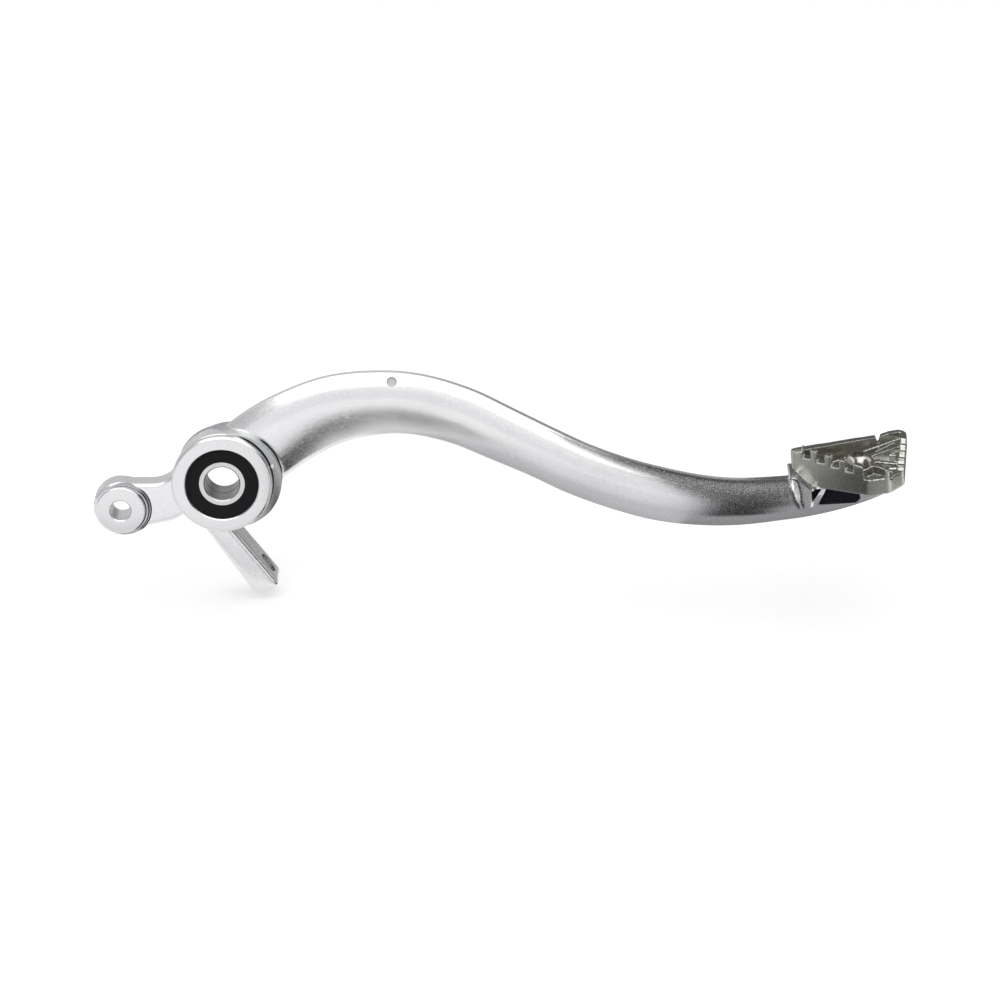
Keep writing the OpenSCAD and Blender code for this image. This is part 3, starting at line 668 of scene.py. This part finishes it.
def dimple_floor():
    """The dimple's floor, in a darker material that paints the shade in the dimple: a shallow saucer
    turned about the dimple's own axis, its height rising ever more steeply towards the wall."""
    side = np.array([1.0, 0.0, 0.0])
    other = np.cross(DIMPLE_WAY, side)
    r = np.array([0.02, 0.4, 0.8, 1.15, 1.4, DIMPLE_R, DIMPLE_R, 0.02])[:, None, None]
    rise = np.array([0.1, 0.105, 0.12, 0.16, 0.22, 0.30, -0.3, -0.3])[:, None, None]
    a = around(48)[:, None]
    rings = DIMPLE_AT + (rise - DIMPLE_DEPTH) * DIMPLE_WAY + r * (np.cos(a) * side + np.sin(a) * other)
    return smooth(ringed("dimple_floor", rings), sharp=40)


def lug_steps():
    """Two turned steps that lead from the boss to the web, set off towards the hub."""
    front = LUG_SPAN[0]
    r = LUG_R
    profile = [
        (r - 2, front + 0.7), (r - 0.1, front + 0.7), (r + 0.1, front + 0.8), (r + 0.1, front + 0.98),
        (r - 0.1, front + 1.0), (r - 0.1, front + 1.12), (r + 0.45, front + 1.14), (r + 0.5, front + 1.3),
        (r + 0.3, front + 1.32), (r + 0.3, front + 1.42), (r + 0.8, front + 1.44), (r + 0.85, front + 2.2),
        (r - 2, front + 2.4),
    ]
    return smooth(turned("lug_steps", profile, LUG_STEPS_AT, BOSS_SIDES, closed=True), TURNED_EDGE)


def lug_boss():
    """The turned boss of the pushrod lug, with its stepped shoulder and reamed hole."""
    front, back = LUG_SPAN
    r = LUG_R
    mouth_r = PIN_HOLE_R + PIN_CHAMFER
    profile = [
        (mouth_r, front), (r - 0.55, front), (r - 0.25, front + 0.08), (r - 0.05, front + 0.3),
        (r, front + 0.6), (r, front + 0.95), (r - 0.12, front + 1.0), (r - 0.12, front + 1.15),
        (r + 0.22, front + 1.2), (r + 0.26, front + 1.55), (r + 0.26, front + 3),
        (r - 0.6, front + 3.2), (r - 0.6, back + 0.03), (mouth_r, back + 0.03),
        (PIN_HOLE_R, back - 0.2), (PIN_HOLE_R, front + PIN_CHAMFER),
    ]
    return smooth(turned("lug_boss", profile, LUG, BOSS_SIDES, closed=True), TURNED_EDGE)


def plate_trims():
    """Cutters for the step plate: wider gaps between the worn teeth of the outer wall, and the
    nose's corner taken down to the rim. The gaps follow the wall's line, one pitch apart, each
    from the rim's height there, which falls evenly with x."""
    box = np.array([(-0.9, -5), (1.6, -5), (1.6, 3), (-0.9, 3)])
    turn = np.array([[np.cos(NEAR_TURN), np.sin(NEAR_TURN)], [-np.sin(NEAR_TURN), np.cos(NEAR_TURN)]])
    first_x, first_y = FIRST_GAP_AT
    cutters = []
    for i in range(TOOTH_GAPS):
        x = first_x + i * TOOTH_PITCH
        y = first_y + (x - first_x) * np.tan(NEAR_TURN)
        plan = box @ turn + (x, y)
        rings = np.stack([np.insert(plan, 2, z, axis=1) for z in (RIM_H - RIM_FALL * x, 20.0)])
        cutters.append(ringed("gap", rings))
    corner = [(-21, 9.4), (-18.8, 10.3), (-15.6, 11.3), (-15.6, 16), (-21, 16)]
    cutters.append(slab("corner", corner, (-20, 20)))
    return [move_points(cutter, on_seat) for cutter in cutters]


def step_plate():
    """The step plate's cast look: a copy of the CAD solid with its points merged, fused into fine
    voxels and rubbed smooth, so that every tooth and rib keeps its place with worn edges."""
    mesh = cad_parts["step_plate"].data.copy()
    mesh.materials.clear()
    cast = in_scene("plate", mesh)
    weld = cast.modifiers.new("weld", "WELD")
    weld.merge_threshold = PLATE_WELD * MM
    trims = joined("trims", plate_trims())
    plate = finished(melted(cut_by(cast, trims), PLATE_VOXEL, PLATE_ROUNDS), "step_plate_casting", sharp=60)
    bpy.data.objects.remove(trims)
    return plate


def seated(points):
    """Turns a screw's own axis from Y to the seat's normal and sets its head on the plate's boss."""
    x, y, z = np.moveaxis(points, -1, 0)
    return on_seat(np.stack([x, -z, y + HEAD_SEAT], -1))


def plate_screw():
    """Screw with a turned domed head and a six-sided socket: the dome's height falls as the
    radius to the power 3.2."""
    r = np.linspace(0.05, 1, 14)
    dome = np.stack([HEAD_R * r, HEAD_H - DOME_FALL * r**DOME_POWER], -1)
    shank = [(SCREW_R - SCREW_TIP, -SCREW_LEN - SCREW_TIP), (SCREW_R, -SCREW_LEN), (SCREW_R, 0.0)]
    rim = [(HEAD_R - 0.15, 0.0), (HEAD_R, 0.15)]
    screw = turned("screw_blank", np.concatenate([shank, rim, dome[::-1]]), sides=96)
    socket = turned("socket", [(SOCKET_R, HEAD_H - SOCKET_DEPTH), (SOCKET_R, HEAD_H + 2)], sides=6)
    for part in (screw, socket):
        move_points(part, seated)
    piece = finished(cut_by(screw, socket), "plate_screw", sharp=30)
    bpy.data.objects.remove(socket)
    return piece


def node_group(name, inputs, outputs):
    """An empty shader group with float or colour sockets, and its two end nodes."""
    group = bpy.data.node_groups.new(name, "ShaderNodeTree")
    for label, kind, value in inputs:
        socket = group.interface.new_socket(label, in_out="INPUT", socket_type=kind)
        socket.default_value = value
    for label, kind in outputs:
        group.interface.new_socket(label, in_out="OUTPUT", socket_type=kind)
    return group, group.nodes.new("NodeGroupInput"), group.nodes.new("NodeGroupOutput")


def noise(tree, coords, scale, detail, roughness=0.5):
    """Cloudy noise, about 0.5, with scale cells to a metre."""
    node = tree.nodes.new("ShaderNodeTexNoise")
    node.inputs["Scale"].default_value = scale
    node.inputs["Detail"].default_value = detail
    node.inputs["Roughness"].default_value = roughness
    tree.links.new(coords, node.inputs["Vector"])
    return node.outputs["Fac"]


def spread(tree, value, low, high, start, stop):
    """Maps a value between start and stop onto low to high."""
    node = tree.nodes.new("ShaderNodeMapRange")
    node.inputs["From Min"].default_value = start
    node.inputs["From Max"].default_value = stop
    node.inputs["To Min"].default_value = low
    node.inputs["To Max"].default_value = high
    tree.links.new(value, node.inputs["Value"])
    return node.outputs["Result"]


def blend_colour(tree, mask, first, second):
    """Blends two colour sockets by a mask: the first where it is 0, the second where it is 1. The
    Mix node's colour inputs are numbers 6 and 7, and its colour output is number 2."""
    node = tree.nodes.new("ShaderNodeMix")
    node.data_type = "RGBA"
    tree.links.new(first, node.inputs[6])
    tree.links.new(second, node.inputs[7])
    tree.links.new(mask, node.inputs[0])
    return node.outputs[2]


def scaled(tree, colour, level):
    """A colour socket times a level."""
    node = tree.nodes.new("ShaderNodeVectorMath")
    node.operation = "SCALE"
    tree.links.new(colour, node.inputs[0])
    tree.links.new(level, node.inputs["Scale"])
    return node.outputs["Vector"]


def grain_group():
    """Surface of a blasted or tumbled metal. Its colour is a cloudy blend of two tones, times a
    speckle from fine pits. The pits also set the roughness, and its height is the pits plus 0.6
    times a slow waviness."""
    colour, number = "NodeSocketColor", "NodeSocketFloat"
    group, start, end = node_group(
        "Cast grain",
        [("Light tone", colour, (0.8, 0.8, 0.8, 1)), ("Dark tone", colour, (0.6, 0.6, 0.6, 1)),
         ("Grain scale", number, 4000.0), ("Smoothest", number, 0.3), ("Roughest", number, 0.45),
         ("Darkest speck", number, 0.86)],
        [("Colour", colour), ("Roughness", number), ("Height", number)],
    )
    coords = group.nodes.new("ShaderNodeTexCoord").outputs["Object"]
    pits = noise(group, coords, 4000.0, 3.0, 0.62)
    group.links.new(start.outputs["Grain scale"], pits.node.inputs["Scale"])
    waves = noise(group, coords, 160.0, 2.0)
    clouds = noise(group, coords, 45.0, 4.0, 0.6)
    mask = spread(group, clouds, 0, 1, 0.3, 0.7)
    tone = blend_colour(group, mask, start.outputs["Dark tone"], start.outputs["Light tone"])
    speckle = spread(group, pits, 0.86, 1.0, 0.38, 0.62)
    group.links.new(start.outputs["Darkest speck"], speckle.node.inputs["To Min"])
    group.links.new(scaled(group, tone, speckle), end.inputs["Colour"])
    rough = spread(group, pits, 0.3, 0.45, 0.35, 0.65)
    group.links.new(start.outputs["Smoothest"], rough.node.inputs["To Min"])
    group.links.new(start.outputs["Roughest"], rough.node.inputs["To Max"])
    group.links.new(rough, end.inputs["Roughness"])
    height = group.nodes.new("ShaderNodeMath")
    height.operation = "MULTIPLY_ADD"
    group.links.new(waves, height.inputs[0])
    height.inputs[1].default_value = 0.6
    group.links.new(pits, height.inputs[2])
    group.links.new(height.outputs["Value"], end.inputs["Height"])
    return group


def metal(group, name, light, dark, grain, smoothest, roughest, relief, speck):
    """A metal whose tone, roughness and fine relief come from the grain group."""
    material = bpy.data.materials.new(name)
    material.use_nodes = True
    tree = material.node_tree
    shader = tree.nodes["Principled BSDF"]
    look = tree.nodes.new("ShaderNodeGroup")
    look.node_tree = group
    for label, value in (("Light tone", (*light, 1)), ("Dark tone", (*dark, 1)), ("Grain scale", grain),
                         ("Smoothest", smoothest), ("Roughest", roughest), ("Darkest speck", speck)):
        look.inputs[label].default_value = value
    bump = tree.nodes.new("ShaderNodeBump")
    bump.inputs["Strength"].default_value = relief
    bump.inputs["Distance"].default_value = RELIEF_DEPTH * MM
    tree.links.new(look.outputs["Height"], bump.inputs["Height"])
    tree.links.new(look.outputs["Colour"], shader.inputs["Base Color"])
    tree.links.new(look.outputs["Roughness"], shader.inputs["Roughness"])
    tree.links.new(bump.outputs["Normal"], shader.inputs["Normal"])
    shader.inputs["Metallic"].default_value = 1.0
    return material


def paint_bore_shade(material, radius, shade):
    """Paints shade on a metal inside a bore along Y: its colour times shade where the
    root of x squared plus z squared is under the radius, and fading out over 0.2 mm."""
    tree = material.node_tree
    shader = tree.nodes["Principled BSDF"]
    colour = shader.inputs["Base Color"].links[0].from_socket
    split = tree.nodes.new("ShaderNodeSeparateXYZ")
    tree.links.new(tree.nodes.new("ShaderNodeTexCoord").outputs["Object"], split.inputs["Vector"])
    flat = tree.nodes.new("ShaderNodeCombineXYZ")
    tree.links.new(split.outputs["X"], flat.inputs["X"])
    tree.links.new(split.outputs["Z"], flat.inputs["Z"])
    length = tree.nodes.new("ShaderNodeVectorMath")
    length.operation = "LENGTH"
    tree.links.new(flat.outputs["Vector"], length.inputs[0])
    level = spread(tree, length.outputs["Value"], shade, 1.0, radius * MM, (radius + 0.2) * MM)
    tree.links.new(scaled(tree, colour, level), shader.inputs["Base Color"])


def rubbery(material):
    """Makes a material moulded rubber: no metal, with a dull gloss."""
    shader = material.node_tree.nodes["Principled BSDF"]
    shader.inputs["Metallic"].default_value = 0.0
    shader.inputs["Specular IOR Level"].default_value = RUBBER_GLOSS


def finishes():
    """All materials of the object by their short names."""
    grain = grain_group()
    made = {key: metal(grain, *values) for key, values in METALS.items()}
    paint_bore_shade(made["shaded_bore"], BORE_SHADE_R, BORE_SHADE_LEVEL)
    rubbery(made["seal"])
    return made


def paint(obj, material):
    """Gives an object one material."""
    obj.data.materials.clear()
    obj.data.materials.append(material)


def build_pieces():
    """Makes every new piece, and gives the CAD's bearing parts their materials."""
    finish = finishes()
    lever = cast_lever()
    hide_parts("lever")
    for piece, key in (
        (lever, "cast"),
        (hub_sleeve(), "machined"),
        # Collar band in the darker aluminium: painted shade
        (collar_band(), "collar"),
        (hub_nub(), "machined"),
        (lug_boss(), "machined"),
        # Lug steps in the darker aluminium: painted shade
        (lug_steps(), "collar"),
        # Darker floor in the dimple: painted shade
        (dimple_floor(), "dimple_shade"),
        # Lines of painted shade in the grooves
        (groove_shade_lines(), "painted_shade"),
        # Dark plates in the hollows: painted shade
        (pocket_shade_plates(), "painted_shade"),
    ):
        paint(piece, finish[key])
        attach(piece, "pedal")
    tread = step_plate()
    paint(tread, finish["plate"])
    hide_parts("step_plate")
    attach(tread, "pedal")
    fixing = plate_screw()
    paint(fixing, finish["screw"])
    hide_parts("step_plate_screw")
    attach(fixing, "pedal")

    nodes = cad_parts
    paint(nodes["bearing_circlip"], finish["spring"])
    for end in ("front", "rear"):
        for kind, key in (("outer_ring", "ground"), ("inner_ring", "shaded_bore"), ("balls", "ground"),
                          ("cage", "brass"), ("outer_seal", "seal"), ("inner_seal", "seal")):
            paint(nodes[f"{end}_{kind}"], finish[key])


def aimed(obj, at, aim):
    """Puts a lamp or the camera at one place and turns it to look at another."""
    obj.location = at
    obj.rotation_mode = "QUATERNION"
    obj.rotation_quaternion = (Vector(aim) - Vector(at)).to_track_quat("-Z", "Y")


def camera():
    """A long lens, far off and at the photograph's height."""
    data = bpy.data.cameras.new("camera")
    data.lens = CAMERA_LENS
    data.clip_start = 0.05
    data.clip_end = 20
    cam = in_scene("camera", data)
    aimed(cam, CAMERA_AT, CAMERA_AIM)
    bpy.context.scene.camera = cam


def softbox(name, at, aim, size, level):
    """A rectangular lamp that looks level times as bright as white from the object: its power is
    level times pi times its area."""
    light = bpy.data.lights.new(name, "AREA")
    light.shape = "RECTANGLE"
    light.size, light.size_y = size
    light.energy = level * np.pi * size[0] * size[1]
    aimed(in_scene(name, light), at, aim)


def bare_material(name):
    """A new material, its node tree with nothing but an output, and that output's surface."""
    material = bpy.data.materials.new(name)
    material.use_nodes = True
    tree = material.node_tree
    tree.nodes.remove(tree.nodes["Principled BSDF"])
    return material, tree, tree.nodes["Material Output"].inputs["Surface"]


def background_rays(tree):
    """1 for the rays that should meet the white background: camera, glossy and transmission."""
    path = tree.nodes.new("ShaderNodeLightPath")
    total = path.outputs["Is Camera Ray"]
    for label in ("Is Glossy Ray", "Is Transmission Ray"):
        add = tree.nodes.new("ShaderNodeMath")
        add.operation = "ADD"
        add.use_clamp = True
        tree.links.new(total, add.inputs[0])
        tree.links.new(path.outputs[label], add.inputs[1])
        total = add.outputs["Value"]
    return total


def floor_material():
    """Pale matt floor that keeps shadows, and glows just enough to be white in the background."""
    material, tree, surface = bare_material("Pale floor")
    matt = tree.nodes.new("ShaderNodeBsdfDiffuse")
    matt.inputs["Color"].default_value = (FLOOR_TONE, FLOOR_TONE, FLOOR_TONE, 1)
    lift = tree.nodes.new("ShaderNodeEmission")
    seen = tree.nodes.new("ShaderNodeMath")
    seen.operation = "MULTIPLY"
    seen.inputs[1].default_value = FLOOR_LIFT
    tree.links.new(background_rays(tree), seen.inputs[0])
    tree.links.new(seen.outputs["Value"], lift.inputs["Strength"])
    both = tree.nodes.new("ShaderNodeAddShader")
    tree.links.new(matt.outputs["BSDF"], both.inputs[0])
    tree.links.new(lift.outputs["Emission"], both.inputs[1])
    tree.links.new(both.outputs["Shader"], surface)
    return material


def graded_card(name, axis, stops):
    """Card whose brightness runs smoothly along one axis through (place, level) stops."""
    material, tree, surface = bare_material(name)
    coords = tree.nodes.new("ShaderNodeTexCoord").outputs["Object"]
    split = tree.nodes.new("ShaderNodeSeparateXYZ")
    tree.links.new(coords, split.inputs["Vector"])
    first, last = stops[0][0], stops[-1][0]
    place = spread(tree, split.outputs[axis], 0, 1, first, last)
    ramp = tree.nodes.new("ShaderNodeValToRGB")
    ramp.color_ramp.interpolation = "EASE"
    while len(ramp.color_ramp.elements) < len(stops):
        ramp.color_ramp.elements.new(0.5)
    for element, (at, level) in zip(ramp.color_ramp.elements, stops):
        element.position = (at - first) / (last - first)
        element.color = (level, level, level * CARD_COOLNESS, 1)
    tree.links.new(place, ramp.inputs["Fac"])
    glow = tree.nodes.new("ShaderNodeEmission")
    tree.links.new(ramp.outputs["Color"], glow.inputs["Color"])
    tree.links.new(glow.outputs["Emission"], surface)
    return material


def only_reflected(card, material):
    """Makes a mesh a studio card that is seen in the metal and nowhere else."""
    paint(card, material)
    card.visible_camera = False
    card.visible_diffuse = False
    card.visible_shadow = False


def reflection_card(name, outline, across, material):
    """A studio card: an outline of (y, z) points carried over a span of X."""
    outline = np.asarray(outline, float)
    rows = np.stack([np.insert(outline, 0, x, axis=1) for x in across])
    count = len(outline)
    faces = [[j, j + 1, count + j + 1, count + j] for j in range(count - 1)]
    only_reflected(put_mesh(name, rows.reshape(-1, 3) / MM, faces), material)


def rectangle(name, corners):
    """One flat face from its four corners."""
    return put_mesh(name, np.array(corners) / MM, [[0, 1, 2, 3]])


def side_card(name, x, near, far, top, level):
    """An upright studio card across X, from the floor to top, as bright all over as level."""
    z = FLOOR_Z
    panel = rectangle(name, [(x, near, z), (x, far, z), (x, far, top), (x, near, top)])
    only_reflected(panel, graded_card(name.replace("_", " "), "Z", [(z, level), (top, level)]))


def upright(y, top):
    """The outline of a card that stands just above the floor at y."""
    return [(y, FLOOR_Z + 0.001), (y, top)]


def lying(near, far, lift):
    """The outline of a card on the floor, lifted clear of those that it lies over."""
    return [(near, FLOOR_Z + lift), (far, FLOOR_Z + lift)]


def room():
    """White surroundings: full white for the background's rays, and dim for the diffuse ones."""
    world = bpy.data.worlds.new("studio")
    bpy.context.scene.world = world
    world.use_nodes = True
    tree = world.node_tree
    sky = tree.nodes["Background"]
    sky.inputs["Color"].default_value = (1, 1, 1, 1)
    level = spread(tree, background_rays(tree), ROOM_LIGHT, WHITE, 0, 1)
    tree.links.new(level, sky.inputs["Strength"])

    (left, right), (near, far) = FLOOR_SPAN
    z = FLOOR_Z
    floor = rectangle("floor", [(left, near, z), (right, near, z), (right, far, z), (left, far, z)])
    paint(floor, floor_material())


def cards():
    """The grey and black cards that draw the tones down the metal, as a studio does. Each has its
    outline, its span of X, and the axis and stops that its brightness follows. The tip's card
    is an arch of 80 mm round the arm."""
    for name, outline, across, label, axis, stops in (
        ("front_card", upright(-1.15, 0.75), (-1.0, 1.2),
         "Grey front card", "Z", [(FLOOR_Z, 0.90), (0.30, 0.93), (0.75, 1.05)]),
        ("back_card", upright(1.6, 1.1), (-1.6, 1.8),
         "Grey back card", "X", [(-1.6, 0.65), (0.0, 0.58), (0.7, 0.25), (1.8, 0.22)]),
        ("back_floor_card", lying(0.05, 0.8, 0.0005), (-0.3, 0.4),
         "Grey back floor", "X", [(-0.3, 0.75), (-0.02, 0.6), (0.06, 0.5), (0.13, 0.45), (0.16, 0.3)]),
        ("plate_underlay", lying(-0.24, -0.05, 0.0012), (0.170, 0.23),
         "Grey plate underlay", "Y", [(-0.24, 0.36), (-0.05, 0.32)]),
        ("tip_underlay", lying(-0.12, 0.03, 0.0006), (0.13, 0.20),
         "Grey tip underlay", "Y", [(-0.12, 0.75), (-0.04, 0.34), (0.03, 0.26)]),
        ("underlay", lying(-0.35, 0.03, 0.0005), (0.046, 0.20),
         "Grey underlay", "Y", [(-0.35, 0.88), (-0.10, 0.84), (-0.04, 0.60), (0.03, 0.46)]),
        ("hub_card", lying(-0.16, 0.0, 0.0008), (0.021, 0.042),
         "Dark hub card", "X", [(0.021, 0.02), (0.034, 0.02), (0.042, 0.5)]),
    ):
        reflection_card(name, outline, across, graded_card(label, axis, stops))

    dark = graded_card("Dark tip card", "Z", [(FLOOR_Z, 0.004), (0.04, 0.006), (0.065, 0.03), (0.085, 0.08)])
    reflection_card("tip_floor_card", lying(-0.036, -0.075, 0.001), (0.136, 0.160), dark)
    arch = arc(-0.003, 0.005, 0.08, 211, 30, 30)
    reflection_card("tip_card", arch, (0.135, 0.166), dark)
    reflection_card("plate_back_card", upright(0.055, 0.17), (0.152, 0.26),
                    graded_card("Dark plate back", "Z", [(FLOOR_Z, 0.10), (0.17, 0.16)]))
    side_card("dark_side_card", 0.27, -0.2, 0.0, 0.16, 0.07)
    side_card("pale_side_card", 0.27, 0.03, 0.2, -0.012, 1.4)
    side_card("left_card", -0.6, -1.0, 0.6, 0.8, 0.55)
    reflection_card("hub_front_floor", lying(-0.45, -0.02, 0.0006), (-0.3, 0.018),
                    graded_card("Pale hub floor", "Y", [(-0.45, 1.08), (-0.08, 1.06), (-0.02, 0.8)]))


def studio():
    """The white room, two big soft lamps and the cards."""
    bpy.context.scene.view_settings.view_transform = "Standard"
    room()
    softbox("overhead", (0.05, 0.02, 1.3), (0.05, 0.02, 0), (2.0, 2.45), 1.05)
    softbox("front", (-0.5, -1.1, 0.9), (0.08, 0, 0), (0.9, 0.7), 1.1)
    cards()


camera()
studio()
build_pieces()
